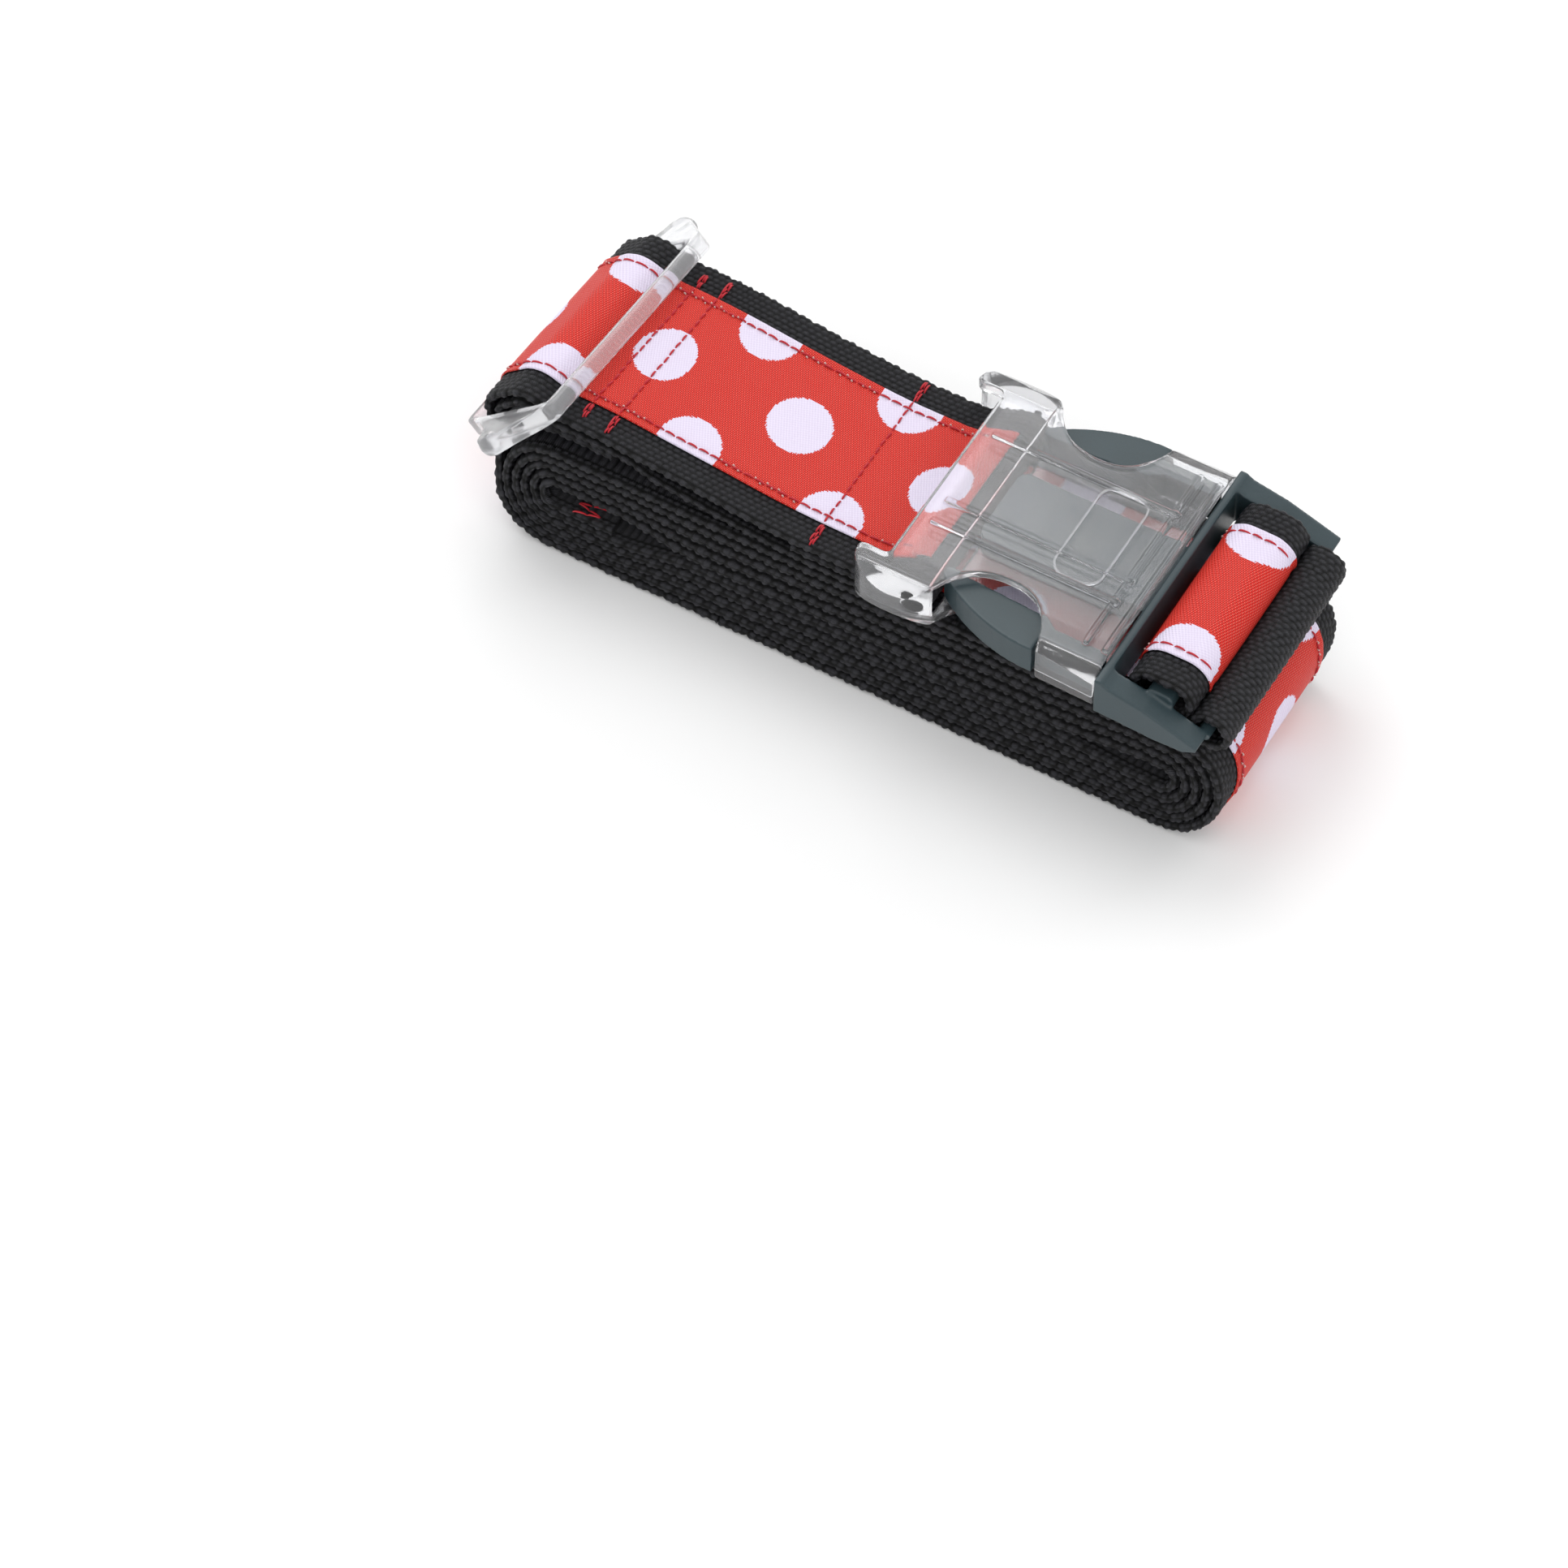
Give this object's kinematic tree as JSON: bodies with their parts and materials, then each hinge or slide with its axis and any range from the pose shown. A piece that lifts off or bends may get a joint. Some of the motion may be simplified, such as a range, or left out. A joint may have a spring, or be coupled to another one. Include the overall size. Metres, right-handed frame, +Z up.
{
  "type": "luggage strap",
  "caption": "Wound luggage strap: webbing with a sewn dotted ribbon, an adjuster slide and a side-release buckle closed on top of the roll.",
  "frame": {"origin": "centre of the footprint, on the surface the roll lies on", "axes": "+X along the roll from the slider to the buckle's mouth, +Y across the webbing, +Z up"},
  "size_m": [0.1774, 0.0722, 0.0438],
  "materials": {
    "webbing": "coarse ribbed black webbing",
    "ribbon": "woven satin ribbon, red with white dots",
    "thread": "crimson sewing thread",
    "clear_plastic": "clear moulded plastic, slightly frosted",
    "charcoal_plastic": "satin charcoal plastic"
  },
  "bodies": {
    "strap": {"main_roll_webbing": "webbing", "main_roll_ribbon": "ribbon", "main_band_webbing": "webbing", "main_band_ribbon": "ribbon", "link_lower_webbing": "webbing", "link_lower_ribbon": "ribbon", "band_edge_seam_near": "thread", "band_edge_seam_far": "thread", "slider_seam_left": "thread", "slider_seam_right": "thread", "buckle_seam": "thread", "tail_hem_seam": "thread", "female_buckle": "clear_plastic"},
    "slider": {"slider": "clear_plastic"},
    "plug": {"male_frame": "charcoal_plastic", "link_upper_webbing": "webbing", "link_upper_ribbon": "ribbon", "male_loop_seam": "thread"},
    "latch_near": {"latch_arm_near": "charcoal_plastic"},
    "latch_far": {"latch_arm_far": "charcoal_plastic"}
  },
  "joints": [
    {"name": "plug_release", "type": "slide", "parent": "strap", "child": "plug", "axis": [1, 0, 0], "range_m": [0, 0.045], "deforming": ["latch_arm_near", "latch_arm_far"]},
    {"name": "latch_press_near", "type": "hinge", "parent": "plug", "child": "latch_near", "pos_m": [0.05874, -0.024, 0.037], "axis": [0, 0, -1], "range_deg": [0, 13], "stiffness_Nm_per_rad": 0.6},
    {"name": "latch_press_far", "type": "hinge", "parent": "plug", "child": "latch_far", "pos_m": [0.05874, 0.024, 0.037], "axis": [0, 0, 1], "range_deg": [0, 13], "stiffness_Nm_per_rad": 0.6},
    {"name": "slider_tilt", "type": "hinge", "parent": "strap", "child": "slider", "pos_m": [-0.07677, 0, 0.02893], "axis": [0, -1, 0], "range_deg": [0, 4]}
  ]
}
